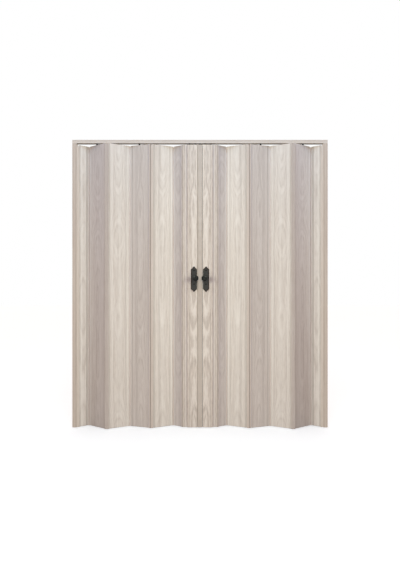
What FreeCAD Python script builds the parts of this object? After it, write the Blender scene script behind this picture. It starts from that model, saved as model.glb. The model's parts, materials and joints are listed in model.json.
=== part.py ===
import FreeCAD, Part
import math
import os

# Double accordion door of hollow plastic extrusions, hung from a head track.
# Millimetres. X runs along the track, -Y is the front, Z is up.
# The origin is on the floor, in the middle of the doorway, on the track's centre line.

# Whole door
overall_height = 2032.0
floor_gap_panel = 2.0
floor_gap_strip = 1.0
track_gap_panel = 10.0
track_gap_strip = 14.0

# Folding of the closed door: each panel's angle to the track, and the angle when it is stacked
angle_a = 26.5
angle_c = 13.5
angle_e = 24.0
angle_stacked = 87.0

# Panels
panel_pitch = 145.0
panel_half_pitch = 64.0
panel_thickness = 8.0
panel_wall = 1.2
panel_rib = 1.0
panel_rib_pitch = 24.0

# Bead and socket knuckles
bead_radius = 2.4
knuckle_clearance = 0.1
socket_wall = 2.0
neck_width = 1.6
neck_clearance = 0.15

# Hinge strips
strip_pitch = 15.0
strip_overhang = 6.0
strip_thickness = 2.6
strip_edge = 1.0
strip_clearance = 0.4
strip_bar = 1.2
strip_web = 1.6

# Head track
track_depth = 24.0
track_height = 24.0
track_wall = 1.8
track_slot = 8.0
track_lip_height = 1.5
track_lip_width = 1.0
track_screws = 6
track_screw_inset = 50.0

# Jambs
jamb_bead_inset = 27.2
jamb_box_width = 16.0
jamb_wall = 2.0
jamb_face_width = 30.0
jamb_lip = 3.5
jamb_web = 3.0
jamb_screw_offset = 6.0
jamb_screws = 4
jamb_screw_inset = 150.0
screw_hole_radius = 2.5

# Lead posts
lead_width = 105.4
lead_box_width = 71.6
lead_depth = 28.0
lead_wall = 2.0
lead_rib = 1.5
lead_edge = 2.0
lead_neck_depth = 15.0
lead_neck_gap = 2.3
lead_hanger_inset = 14.6
lead_hanger_pitch = 42.0

# Centre strip and the closing magnet
centre_width = 33.6
centre_gap = 2.6
centre_edge = 1.5
key_slot_mouth = 6.0
key_slot_width = 12.0
key_slot_depth = 4.0
key_lip = 1.5
key_clearance = 0.3

# Hangers
hanger_length = 22.0
hanger_width = 6.8
hanger_foot = 12.0
hanger_crown = 14.0
hanger_rise = 6.0
hanger_drop = 0.6
hanger_boss_radius = 3.4
hanger_collar_radius = 3.6
hanger_collar_gap = 0.3
hanger_flange_radius = 6.0
stem_radius = 2.0
stem_length = 38.0
stem_clearance = 0.08
boss_wall = 1.6
wheel_radius = 7.0
wheel_width = 3.8
wheel_hub_radius = 3.2
wheel_rim = 1.4
wheel_dish = 1.0
wheel_offset = 5.4
wheel_side_gap = 0.2
wheel_rail_gap = 0.3
axle_radius = 1.5
axle_clearance = 0.08
axle_overhang = 0.4
press_clearance = 0.02

# Handles
fastener_clearance = 0.05
handle_height = 1047.0
plate_width = 43.0
plate_length = 178.0
plate_thickness = 3.5
plate_edge = 2.4
plate_tip_top = 19.0
plate_tip_bottom = 20.5
plate_shoulder = 4.0
ogee_turn = 0.5
ogee_rise = 1.2
plate_inset = 22.9
screw_above = 62.0
screw_below = 34.5
screw_radius = 2.0
screw_head_radius = 4.0
screw_head_height = 2.2
screw_length = 11.0
knob_above = 7.0
knob_inset = 11.5
knob_rose_radius = 10.5
knob_rose_height = 3.0
knob_neck_radius = 7.0
knob_neck_length = 13.0
knob_radius = 22.0
knob_length = 27.0
knob_sides = 8
knob_bore_depth = 20.0
knob_rod_radius = 3.0

# The knob's head: places along its length and sizes, as shares of its length and widest radius
knob_base_size = 0.48
knob_swell_at = 0.3
knob_swell_size = 0.86
knob_widest_at = 0.55
knob_shoulder_at = 0.78
knob_shoulder_size = 0.92
knob_end_size = 0.5

# Worked out from the sizes above
bore_radius = bead_radius + knuckle_clearance
socket_radius = bore_radius + socket_wall
strip_inner = socket_radius + strip_clearance
strip_outer = strip_inner + strip_thickness
track_bottom = overall_height - track_height
panel_top = track_bottom - track_gap_panel
strip_top = track_bottom - track_gap_strip
rail_height = track_bottom + track_wall
axle_height = rail_height + wheel_rail_gap + wheel_radius
nose = centre_width / 2 + centre_gap
lead_axis = nose + lead_width
slot_margin = math.degrees(math.asin((neck_width / 2 + neck_clearance) / bore_radius))

# Turns, and how far a cut runs past the face that it starts from
all_round = 360.0
half_turn = 180.0
square = 90.0
over = 1.0


def angle_between(front_angle, back_angle):
    """Angle of a panel without a hanger, between two that have theirs on the track line."""
    back_arm = (panel_pitch - panel_half_pitch) * math.sin(math.radians(front_angle))
    front_arm = panel_half_pitch * math.sin(math.radians(back_angle))
    return math.degrees(math.asin((back_arm + front_arm) / panel_pitch))


angle_b = angle_between(angle_a, angle_c)
angle_d = angle_between(angle_c, angle_e)

# Each leaf from the jamb to the lead post: name, length, angle, and whether it runs to the back
LEAF = [
    ("jamb_half_panel", panel_half_pitch, angle_a, 1),
    ("panel_a", panel_pitch, angle_a, -1),
    ("panel_b", panel_pitch, angle_b, 1),
    ("panel_c", panel_pitch, angle_c, -1),
    ("panel_d", panel_pitch, angle_d, 1),
    ("lead_half_panel", panel_half_pitch, angle_e, -1),
]
HUNG = ("panel_a", "panel_c")


def leaf_layout():
    """Left-hand axis of every panel and strip, counted from the lead post's axis back to the jamb."""
    span = sum(length * math.cos(math.radians(angle)) for name, length, angle, way in LEAF)
    span += strip_pitch * (len(LEAF) - 1)
    x = -lead_axis - span
    y = 0.0
    panels = []
    strips = []
    for number, (name, length, angle, way) in enumerate(LEAF, start=1):
        panels.append((name, length, way * angle, way, x, y))
        x += length * math.cos(math.radians(angle))
        y += way * length * math.sin(math.radians(angle))
        if number < len(LEAF):
            strips.append(("strip_%d" % number, way, x, y))
            x += strip_pitch
    return panels, strips


PANELS, STRIPS = leaf_layout()
jamb_axis = -PANELS[0][4]
jamb_bead = jamb_axis + strip_pitch
half_width = jamb_bead + jamb_bead_inset
jamb_screw_pitch = (track_bottom - 2 * jamb_screw_inset) / (jamb_screws - 1)
track_screw_pitch = 2 * (half_width - track_screw_inset) / (track_screws - 1)
lead_hangers = [nose + lead_hanger_inset, nose + lead_hanger_inset + lead_hanger_pitch]
plate_x = nose + plate_inset
knob_x = nose + knob_inset
knob_z = handle_height + knob_above


def vec(x, y, z=0.0):
    return FreeCAD.Vector(x, y, z)


def block(x0, x1, y0, y1, z0, z1):
    """Rectangular block between two corners."""
    return Part.makeBox(x1 - x0, y1 - y0, z1 - z0, vec(x0, y0, z0))


def prism(points, z0, z1):
    """Upright extrusion of an outline drawn in plan."""
    loop = [vec(x, y, z0) for x, y in points]
    return Part.Face(Part.makePolygon(loop + loop[:1])).extrude(vec(0, 0, z1 - z0))


def post(x, y, radius, z0, z1):
    """Upright round bar."""
    return Part.makeCylinder(radius, z1 - z0, vec(x, y, z0))


def cross_bar(x, z, radius, y0, y1):
    """Round bar through the door, from front to back."""
    return Part.makeCylinder(radius, y1 - y0, vec(x, y0, z), vec(0, 1, 0))


def along_bar(y, z, radius, x0, x1):
    """Round bar along the track."""
    return Part.makeCylinder(radius, x1 - x0, vec(x0, y, z), vec(1, 0, 0))


def wedge(x, y, start, stop, z0, z1):
    """Slice of a round bar that opens a socket between two directions in plan."""
    reach = socket_radius + over
    sector = Part.makeCylinder(reach, z1 - z0, vec(0, 0, z0), vec(0, 0, 1), stop - start)
    sector.rotate(vec(0, 0, 0), vec(0, 0, 1), start)
    sector.translate(vec(x, y, 0))
    return sector


def join(shapes):
    """One solid from pieces that overlap."""
    return shapes[0].multiFuse(shapes[1:]).removeSplitter()


def placed(shape, angle, x, y):
    """Turn a piece drawn along X about its first axis and set it in the door."""
    moved = shape.copy()
    moved.rotate(vec(0, 0, 0), vec(0, 0, 1), angle)
    moved.translate(vec(x, y, 0))
    return moved


def mirrored(shape):
    """The same piece on the right-hand leaf."""
    return shape.mirror(vec(0, 0, 0), vec(1, 0, 0))


def chamfered_outline(x0, x1, y0, y1, edge):
    """Rectangle in plan with its four corners cut."""
    return [
        (x0 + edge, y0), (x1 - edge, y0), (x1, y0 + edge), (x1, y1 - edge),
        (x1 - edge, y1), (x0 + edge, y1), (x0, y1 - edge), (x0, y0 + edge),
    ]


def cells(start, stop, walls, rib, depth, z0, z1):
    """Hollows of an extrusion between upright ribs centred on the given places."""
    edges = [start] + [x for wall in sorted(walls) for x in (wall - rib / 2, wall + rib / 2)] + [stop]
    return [block(edges[i], edges[i + 1], -depth / 2, depth / 2, z0, z1) for i in range(0, len(edges), 2)]


def even_ribs(start, stop):
    """Rib places at about the rib pitch between two ends."""
    count = max(1, round((stop - start) / panel_rib_pitch))
    return [start + (stop - start) * i / count for i in range(1, count)]


def panel(length, hand, boss_at=None):
    """Hollow panel with a C-shaped socket along each edge, its mouths on opposite faces.

    The neck of a strip's bead swings in the mouth: square to the panel when the door is drawn
    flat, in line with it when the door is stacked.
    """
    z0, z1 = floor_gap_panel, panel_top
    skin = [block(0, length, -panel_thickness / 2, panel_thickness / 2, z0, z1)]
    skin += [post(x, 0, socket_radius, z0, z1) for x in (0, length)]
    inside = panel_thickness - 2 * panel_wall
    start, stop = socket_radius + panel_wall, length - socket_radius - panel_wall
    if boss_at is None:
        holes = cells(start, stop, even_ribs(start, stop), panel_rib, inside, z0, z1)
    else:
        boss = 2 * (stem_radius + boss_wall)
        ribs = even_ribs(start, boss_at) + even_ribs(boss_at, stop)
        left = [x for x in ribs if x < boss_at]
        right = [x for x in ribs if x > boss_at]
        holes = cells(start, boss_at - boss / 2, left, panel_rib, inside, z0, z1)
        holes += cells(boss_at + boss / 2, stop, right, panel_rib, inside, z0, z1)
        holes.append(post(boss_at, 0, stem_radius + stem_clearance, z0, z1))
    flattest = square - min(angle_a, angle_b, angle_c, angle_d, angle_e)
    folded = square - angle_stacked
    for x, outward in ((0, half_turn), (length, 0.0)):
        holes.append(post(x, 0, bore_radius, z0, z1))
        turn = sorted((hand * (folded - slot_margin), hand * (flattest + slot_margin)))
        holes.append(wedge(x, 0, outward + turn[0], outward + turn[1], z0, z1))
    return join(skin).cut(Part.makeCompound(holes)).removeSplitter().Solids[0]


def hinge_strip(way):
    """Cover plate with two beads on necks, and a bar on a web that closes the gap between panels.

    way is 1 at a back fold and -1 at a front fold.
    """
    z0, z1 = floor_gap_strip, strip_top
    low, high = -strip_overhang, strip_pitch + strip_overhang
    outline = [
        (low, way * strip_inner), (high, way * strip_inner),
        (high, way * (strip_outer - strip_edge)), (high - strip_edge, way * strip_outer),
        (low + strip_edge, way * strip_outer), (low, way * (strip_outer - strip_edge)),
    ]
    pieces = [prism(outline, z0, z1)]
    for x in (0, strip_pitch):
        y0, y1 = sorted((0, way * (strip_inner + strip_edge)))
        pieces.append(block(x - neck_width / 2, x + neck_width / 2, y0, y1, z0, z1))
        pieces.append(post(x, 0, bead_radius, z0, z1))
    middle = strip_pitch / 2
    bar_half = middle - socket_radius - strip_clearance
    face = -way * panel_thickness / 2
    y0, y1 = sorted((face, face + way * strip_bar))
    pieces.append(block(middle - bar_half, middle + bar_half, y0, y1, z0, z1))
    y0, y1 = sorted((face, way * (strip_inner + strip_edge)))
    pieces.append(block(middle - strip_web / 2, middle + strip_web / 2, y0, y1, z0, z1))
    return join(pieces)


def key_slot(x, way, z0, z1):
    """T-shaped groove cut into an upright face at x; way points out of the face."""
    mouth = sorted((x + way * over, x - way * key_lip))
    pocket = sorted((x - way * key_lip, x - way * (key_lip + key_slot_depth)))
    return [
        block(mouth[0], mouth[1], -key_slot_mouth / 2, key_slot_mouth / 2, z0, z1),
        block(pocket[0], pocket[1], -key_slot_width / 2, key_slot_width / 2, z0, z1),
    ]


def key(x, way, reach, z0, z1):
    """T-shaped tongue that fills a groove at x and stands out of it by reach."""
    neck = sorted((x + way * reach, x - way * (key_lip + 2 * key_clearance)))
    shallow = key_lip + key_clearance
    deep = key_lip + key_slot_depth - key_clearance
    head = sorted((x - way * shallow, x - way * deep))
    neck_half = key_slot_mouth / 2 - key_clearance
    head_half = key_slot_width / 2 - key_clearance
    return [
        block(neck[0], neck[1], -neck_half, neck_half, z0, z1),
        block(head[0], head[1], -head_half, head_half, z0, z1),
    ]


def head_track():
    """Channel open below, with a rail and a lip each side of the slot."""
    z0, z1 = track_bottom, overall_height
    half = track_depth / 2
    shell = block(-half_width, half_width, -half, half, z0, z1)
    inner = half - track_wall
    slot = track_slot / 2
    cuts = [
        block(-half_width, half_width, -inner, inner, rail_height, z1 - track_wall),
        block(-half_width, half_width, -slot, slot, z0, rail_height),
    ]
    for i in range(track_screws):
        x = -half_width + track_screw_inset + i * track_screw_pitch
        cuts.append(post(x, 0, screw_hole_radius, z1 - track_wall, z1))
    channel = shell.cut(Part.makeCompound(cuts))
    lips = []
    for side in (-1, 1):
        y0, y1 = sorted((side * slot, side * (slot + track_lip_width)))
        lips.append(block(-half_width, half_width, y0, y1, z0, rail_height + track_lip_height))
    return join([channel] + lips).Solids[0]


def jamb():
    """Left wall post: a box with a face and lip at front and back, and a socket for the starter."""
    z0, z1 = 0.0, track_bottom
    wall_x = -half_width
    box_x = wall_x + jamb_box_width
    half = track_depth / 2
    face_x = wall_x + jamb_face_width
    pieces = [block(wall_x, box_x, -half, half, z0, z1)]
    for side in (-1, 1):
        y0, y1 = sorted((side * half, side * (half - jamb_wall)))
        pieces.append(block(wall_x, face_x, y0, y1, z0, z1))
        y0, y1 = sorted((side * half, side * (half - jamb_lip)))
        pieces.append(block(face_x - jamb_wall, face_x, y0, y1, z0, z1))
    pieces.append(block(box_x - jamb_wall, -jamb_bead, -jamb_web / 2, jamb_web / 2, z0, z1))
    pieces.append(post(-jamb_bead, 0, socket_radius, z0, z1))
    inner = half - jamb_wall
    cuts = [block(wall_x + jamb_wall, box_x - jamb_wall, -inner, inner, z0, z1)]
    cuts.append(post(-jamb_bead, 0, bore_radius, z0, z1))
    cuts.append(wedge(-jamb_bead, 0, -square - slot_margin, -square + slot_margin, z0, z1))
    for i in range(jamb_screws):
        z = jamb_screw_inset + i * jamb_screw_pitch
        cuts.append(along_bar(jamb_screw_offset, z, screw_hole_radius, wall_x, box_x))
    return join(pieces).cut(Part.makeCompound(cuts)).removeSplitter().Solids[0]


def knob_hole(x):
    """Clearance for the rod that joins the two knobs."""
    radius = knob_rod_radius + fastener_clearance
    return cross_bar(x, knob_z, radius, -lead_depth, lead_depth)


def screw_holes(x, radius):
    """Holes for a plate's two screws, through both faces."""
    heights = (handle_height + screw_above, handle_height - screw_below)
    return [cross_bar(x, z, radius, -lead_depth, lead_depth) for z in heights]


def lead_post():
    """Left lead post: a box with a key groove in its nose, and a thinner neck with the last bead."""
    z0, z1 = floor_gap_panel, panel_top
    half = lead_depth / 2
    box_x = -nose - lead_box_width
    outer = prism(chamfered_outline(box_x, -nose, -half, half, lead_edge), z0, z1)
    neck_x = -lead_axis + socket_radius + lead_neck_gap
    neck_half = lead_neck_depth / 2
    neck = block(neck_x, box_x + lead_wall, -neck_half, neck_half, z0, z1)
    cover = [
        (-lead_axis - strip_overhang, -strip_inner), (neck_x + lead_wall, -strip_inner),
        (neck_x + lead_wall, -strip_outer), (-lead_axis - strip_overhang + strip_edge, -strip_outer),
        (-lead_axis - strip_overhang, -strip_outer + strip_edge),
    ]
    stalk = block(-lead_axis - neck_width / 2, -lead_axis + neck_width / 2,
                  -strip_inner - strip_edge, 0, z0, z1)
    bead = post(-lead_axis, 0, bead_radius, z0, z1)
    solid = join([outer, neck, prism(cover, z0, z1), stalk, bead])
    groove_x = -nose - key_lip - key_slot_depth - lead_wall
    ribs = [-x for x in lead_hangers] + [-sum(lead_hangers) / 2]
    cuts = cells(box_x + lead_wall, groove_x, ribs, lead_rib, lead_depth - 2 * lead_wall, z0, z1)
    cuts += [block(neck_x + lead_wall, box_x, -neck_half + lead_wall, neck_half - lead_wall, z0, z1)]
    cuts += key_slot(-nose, 1, z0, z1)
    hollow = solid.cut(Part.makeCompound(cuts))
    bosses = [post(-x, 0, stem_radius + boss_wall, z0, z1) for x in lead_hangers]
    holes = [post(-x, 0, stem_radius + stem_clearance, z0, z1) for x in lead_hangers]
    holes += [knob_hole(-knob_x)] + screw_holes(-plate_x, screw_radius + fastener_clearance)
    return join([hollow] + bosses).cut(Part.makeCompound(holes)).removeSplitter().Solids[0]


def centre_strip():
    """Hollow strip between the leaves: keyed into the left post, grooved for the magnet."""
    z0, z1 = floor_gap_panel, panel_top
    half = lead_depth / 2
    side = centre_width / 2
    tube = prism(chamfered_outline(-side, side, -half, half, centre_edge), z0, z1)
    solid = join([tube] + key(-nose, 1, centre_gap + over, z0, z1))
    groove_x = side - key_lip - key_slot_depth - lead_wall
    cuts = cells(-side + lead_wall, groove_x, [0.0], lead_rib, lead_depth - 2 * lead_wall, z0, z1)
    cuts += key_slot(side, 1, z0, z1)
    hollow = solid.cut(Part.makeCompound(cuts))
    boss = post(0, 0, stem_radius + boss_wall, z0, z1)
    hole = post(0, 0, stem_radius + stem_clearance, z0, z1)
    return join([hollow, boss]).cut(hole).removeSplitter().Solids[0]


def magnet_strip():
    """Magnetic tongue in the centre strip's groove, facing the right post."""
    z0, z1 = floor_gap_panel, panel_top
    return join(key(centre_width / 2, 1, (centre_gap - key_clearance) / 2, z0, z1))


def strike_strip():
    """Steel tongue in the right post's groove, facing the magnet."""
    z0, z1 = floor_gap_panel, panel_top
    return join(key(nose, -1, (centre_gap - key_clearance) / 2, z0, z1))


def hanger():
    """Carriage with its axle boss, its collar and flange, and the stem that turns in the panel."""
    half = hanger_length / 2
    foot = track_bottom + hanger_drop
    shoulder = axle_height - hanger_rise / 2
    crown = axle_height + hanger_rise
    side = [
        (-hanger_foot / 2, foot), (hanger_foot / 2, foot), (half, shoulder), (half, axle_height),
        (hanger_crown / 2, crown), (-hanger_crown / 2, crown), (-half, axle_height), (-half, shoulder),
    ]
    loop = [vec(x, -hanger_width / 2, z) for x, z in side]
    body = Part.Face(Part.makePolygon(loop + loop[:1])).extrude(vec(0, hanger_width, 0))
    reach = wheel_offset - wheel_side_gap
    pieces = [
        body,
        cross_bar(0, axle_height, hanger_boss_radius, -reach, reach),
        post(0, 0, hanger_collar_radius, panel_top + hanger_collar_gap, foot + hanger_drop),
        post(0, 0, hanger_flange_radius, panel_top + hanger_collar_gap, track_bottom - hanger_drop),
        post(0, 0, stem_radius, panel_top - stem_length, foot + hanger_drop),
    ]
    bore = cross_bar(0, axle_height, axle_radius + axle_clearance, -reach, reach)
    return join(pieces).cut(bore).Solids[0]


def wheel_profile():
    """Half section of one wheel: distance along the axle against radius."""
    inner, outer = wheel_offset, wheel_offset + wheel_width
    bore = axle_radius + press_clearance
    rim = wheel_radius - wheel_rim
    return [
        (inner, bore), (outer, bore), (outer, wheel_hub_radius), (outer - wheel_dish, wheel_hub_radius),
        (outer - wheel_dish, rim), (outer, rim), (outer, wheel_radius), (inner, wheel_radius),
        (inner, rim), (inner + wheel_dish, rim), (inner + wheel_dish, wheel_hub_radius),
        (inner, wheel_hub_radius),
    ]


def wheel_set():
    """Two dished wheels pressed on one axle."""
    loop = [vec(radius, along, 0) for along, radius in wheel_profile()]
    section = Part.Face(Part.makePolygon(loop + loop[:1]))
    wheel = section.revolve(vec(0, 0, 0), vec(0, 1, 0), all_round)
    wheel.translate(vec(0, 0, axle_height))
    twin = wheel.mirror(vec(0, 0, 0), vec(0, 1, 0))
    reach = wheel_offset + wheel_width + axle_overhang
    return Part.makeCompound([wheel, twin, cross_bar(0, axle_height, axle_radius, -reach, reach)])


def bulged(start, end, rise):
    """Arc between two points of the front plane whose middle stands off the chord by rise."""
    chord = end - start
    side = vec(chord.z, 0, -chord.x).normalize() * rise
    return Part.Arc(start, (start + end) / 2 + side, end).toShape()


def half_outline(inset, y):
    """Right half of the back-plate's outline, from point to point, drawn in by inset."""
    half = plate_width / 2 - inset
    ledge = half - plate_shoulder
    edges = []
    for way, height in ((-1, plate_tip_bottom), (1, plate_tip_top)):
        end = way * (plate_length / 2 - inset)
        corner = way * (plate_length / 2 - height)
        step = corner + way * plate_shoulder
        turn = step + (end - step) * ogee_turn
        points = [
            vec(half, y, corner), vec(ledge, y, step),
            vec(ledge * (1 - ogee_turn), y, turn), vec(0, y, end),
        ]
        edges.append(Part.LineSegment(points[0], points[1]).toShape())
        edges.append(bulged(points[1], points[2], -way * ogee_rise))
        edges.append(bulged(points[2], points[3], way * ogee_rise))
    low = vec(half, y, -plate_length / 2 + plate_tip_bottom)
    high = vec(half, y, plate_length / 2 - plate_tip_top)
    edges.append(Part.LineSegment(low, high).toShape())
    return edges


def plate_outline(inset, y):
    """Closed outline of the back-plate in the plane at y."""
    right = half_outline(inset, y)
    left = [edge.mirror(vec(0, 0, 0), vec(1, 0, 0)) for edge in right]
    return Part.Wire(Part.__sortEdges__(right + left))


def plate():
    """Front back-plate, pointed at both ends, with a bevelled edge."""
    bevel_y = -plate_thickness + plate_edge
    slab = Part.Face(plate_outline(0.0, 0.0)).extrude(vec(0, bevel_y, 0))
    sections = [plate_outline(0.0, bevel_y), plate_outline(plate_edge, -plate_thickness)]
    bevel = Part.makeLoft(sections, True, True)
    solid = join([slab, bevel])
    solid.translate(vec(-plate_x, -lead_depth / 2, handle_height))
    holes = screw_holes(-plate_x, screw_radius + fastener_clearance) + [knob_hole(-knob_x)]
    return solid.cut(Part.makeCompound(holes)).Solids[0]


def knob():
    """Front knob: a round rose and neck, and an eight-sided head that swells and closes."""
    base = lead_depth / 2 + plate_thickness
    neck_end = base + knob_rose_height + knob_neck_length
    rings = [
        (0.0, knob_base_size), (knob_swell_at, knob_swell_size), (knob_widest_at, 1.0),
        (knob_shoulder_at, knob_shoulder_size), (1.0, knob_end_size),
    ]
    wires = []
    for share, size in rings:
        y = -neck_end - share * knob_length
        corners = []
        for i in range(knob_sides):
            turn = math.radians((i + 0.5) * all_round / knob_sides)
            radius = knob_radius * size
            corners.append(vec(radius * math.cos(turn), y, radius * math.sin(turn)))
        wires.append(Part.makePolygon(corners + corners[:1]))
    head = Part.makeLoft(wires, True, True)
    rose = cross_bar(0, 0, knob_rose_radius, -base - knob_rose_height, -base)
    neck = cross_bar(0, 0, knob_neck_radius, -neck_end - over, -base - knob_rose_height / 2)
    bore = cross_bar(0, 0, knob_rod_radius + press_clearance, -base - knob_bore_depth, -base)
    solid = join([head, rose, neck]).cut(bore)
    solid.translate(vec(-knob_x, 0, knob_z))
    return solid.Solids[0]


def knob_rod():
    """Threaded rod through the post from knob to knob."""
    reach = lead_depth / 2 + plate_thickness + knob_bore_depth - fastener_clearance
    return cross_bar(-knob_x, knob_z, knob_rod_radius, -reach, reach)


def plate_screws():
    """Dome-headed screws of the front and back plates."""
    face = lead_depth / 2 + plate_thickness
    sphere = (screw_head_radius ** 2 + screw_head_height ** 2) / (2 * screw_head_height)
    screws = []
    for z in (handle_height + screw_above, handle_height - screw_below):
        ball = Part.makeSphere(sphere, vec(-plate_x, -face - screw_head_height + sphere, z))
        keep = cross_bar(-plate_x, z, screw_head_radius, -face - screw_head_height - over, -face)
        shank = cross_bar(-plate_x, z, screw_radius, -face - screw_head_height / 2, -face + screw_length)
        front = join([ball.common(keep), shank])
        screws += [front, front.mirror(vec(0, 0, 0), vec(0, 1, 0))]
    return Part.makeCompound(screws)


def export(name, shape):
    """Write one named piece, and check that every solid in it is sound."""
    if not shape.isValid() or not shape.Solids:
        raise ValueError("bad shape: " + name)
    shape.exportStep("parts/%s.step" % name)


def both_sides(pieces):
    """The left leaf's pieces and their twins on the right leaf."""
    named = {}
    for name, shape in pieces.items():
        named["left_" + name] = shape
        named["right_" + name] = mirrored(shape)
    return named


def hung_place(name):
    """Plan position of the hanger on a panel of the left leaf."""
    for other, length, angle, way, x, y in PANELS:
        if other == name:
            turn = math.radians(angle)
            return x + panel_half_pitch * math.cos(turn), y + panel_half_pitch * math.sin(turn)
    raise ValueError("no panel " + name)


def leaf_pieces():
    """Everything that the two leaves have alike, drawn on the left."""
    pieces = {"jamb": jamb(), "lead_post": lead_post()}
    pieces["starter_strip"] = placed(hinge_strip(-1), 0.0, -jamb_bead, 0.0)
    for name, length, angle, way, x, y in PANELS:
        boss_at = panel_half_pitch if length == panel_pitch else None
        pieces[name] = placed(panel(length, way, boss_at), angle, x, y)
    for name, way, x, y in STRIPS:
        pieces[name] = placed(hinge_strip(way), 0.0, x, y)
    for name in HUNG:
        x, y = hung_place(name)
        pieces[name + "_hanger"] = placed(hanger(), 0.0, x, y)
        pieces[name + "_wheels"] = placed(wheel_set(), 0.0, x, y)
    for number, x in enumerate(lead_hangers, start=1):
        pieces["lead_wheels_%d" % number] = placed(wheel_set(), 0.0, -x, 0.0)
    front = plate()
    front_knob = knob()
    pieces["front_plate"] = front
    pieces["back_plate"] = front.mirror(vec(0, 0, 0), vec(0, 1, 0))
    pieces["front_knob"] = front_knob
    pieces["back_knob"] = front_knob.mirror(vec(0, 0, 0), vec(0, 1, 0))
    pieces["knob_rod"] = knob_rod()
    pieces["plate_screws"] = plate_screws()
    return pieces


def door():
    """Every node of the door by name."""
    nodes = {"head_track": head_track()}
    nodes.update(both_sides(leaf_pieces()))
    left = [placed(hanger(), 0.0, -x, 0.0) for x in lead_hangers]
    right = [mirrored(shape) for shape in left]
    nodes["left_lead_hangers"] = Part.makeCompound(left + [hanger()])
    nodes["right_lead_hangers"] = Part.makeCompound(right)
    nodes["centre_wheels"] = wheel_set()
    nodes["centre_strip"] = centre_strip()
    nodes["magnet_strip"] = magnet_strip()
    nodes["strike_strip"] = strike_strip()
    return nodes


def main():
    os.makedirs("parts", exist_ok=True)
    nodes = door()
    for name, shape in nodes.items():
        export(name, shape)
    print("nodes", len(nodes), "width", round(2 * half_width, 2))


main()
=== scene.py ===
import json
import math

import bmesh
import bpy
from bpy.props import FloatProperty, FloatVectorProperty, IntProperty, PointerProperty
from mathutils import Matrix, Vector

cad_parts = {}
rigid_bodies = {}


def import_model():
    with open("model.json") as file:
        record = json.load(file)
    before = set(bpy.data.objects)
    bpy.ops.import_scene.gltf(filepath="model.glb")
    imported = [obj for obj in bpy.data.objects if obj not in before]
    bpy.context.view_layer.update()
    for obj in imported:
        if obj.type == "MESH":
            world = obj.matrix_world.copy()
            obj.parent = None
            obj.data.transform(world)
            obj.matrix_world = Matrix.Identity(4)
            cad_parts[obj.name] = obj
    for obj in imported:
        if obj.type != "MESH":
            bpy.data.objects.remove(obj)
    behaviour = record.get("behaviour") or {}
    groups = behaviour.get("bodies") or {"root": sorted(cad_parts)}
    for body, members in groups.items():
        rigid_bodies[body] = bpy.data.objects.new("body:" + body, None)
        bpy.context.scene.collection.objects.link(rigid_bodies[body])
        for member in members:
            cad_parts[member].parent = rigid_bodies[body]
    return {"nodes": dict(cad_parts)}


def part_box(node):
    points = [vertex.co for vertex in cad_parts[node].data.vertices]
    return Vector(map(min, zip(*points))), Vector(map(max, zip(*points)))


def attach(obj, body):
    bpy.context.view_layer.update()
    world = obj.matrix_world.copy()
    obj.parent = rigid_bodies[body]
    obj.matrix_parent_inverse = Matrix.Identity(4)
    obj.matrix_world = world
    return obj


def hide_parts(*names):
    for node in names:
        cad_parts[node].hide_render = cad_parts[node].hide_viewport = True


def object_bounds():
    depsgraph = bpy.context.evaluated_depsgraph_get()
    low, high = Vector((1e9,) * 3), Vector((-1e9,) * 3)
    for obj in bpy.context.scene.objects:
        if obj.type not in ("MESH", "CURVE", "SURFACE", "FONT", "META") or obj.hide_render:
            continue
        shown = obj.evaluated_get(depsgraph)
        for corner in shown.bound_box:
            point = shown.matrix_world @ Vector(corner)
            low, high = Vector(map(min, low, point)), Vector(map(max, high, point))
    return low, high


bl_info = {
    "name": "Accordion Door Finish",
    "version": (1, 0, 0),
    "blender": (4, 5, 0),
    "location": "3D Viewport > Sidebar > Door",
    "description": "Dresses the accordion door: oak-print vinyl, iron handles, runners and studio",
    "category": "Object",
}

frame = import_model()
CAD_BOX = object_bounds()

MM = 0.001
HAIR = 0.01 * MM  # vertices closer than this are one
SIDES = ("left", "right")
FOUR_FACES = [(side, face) for side in SIDES for face in ("front", "back")]

# The panels and hinge strips of each leaf, from the jamb inwards.
PANELS = ("jamb_half_panel", "panel_a", "panel_b", "panel_c", "panel_d", "lead_half_panel")
STRIPS = ("strip_1", "strip_2", "strip_3", "strip_4", "strip_5")

# Colour of each extrusion's print against the panels', per channel, set so that each shows
# as bright as it should. Strips 1, 3 and 5, at the back folds, are lightened as painted light,
# where the panels on both sides of them shade them.
TONES_AND_PAINTED_LIGHT = {
    "track": (1.048, 1.038, 1.003),
    "jamb": (0.893, 0.849, 0.801),
    "starter": (1.048, 1.028, 0.993),
    "strip_1": (1.16, 1.12, 1.11),
    "strip_2": (0.82, 0.795, 0.79),
    "strip_3": (1.41, 1.37, 1.36),
    "strip_4": (0.94, 0.905, 0.885),
    "strip_5": (1.2, 1.15, 1.14),
    "lead_post": (0.971, 0.946, 0.924),
    "centre_strip": (0.919, 0.9, 0.854),
}
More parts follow.
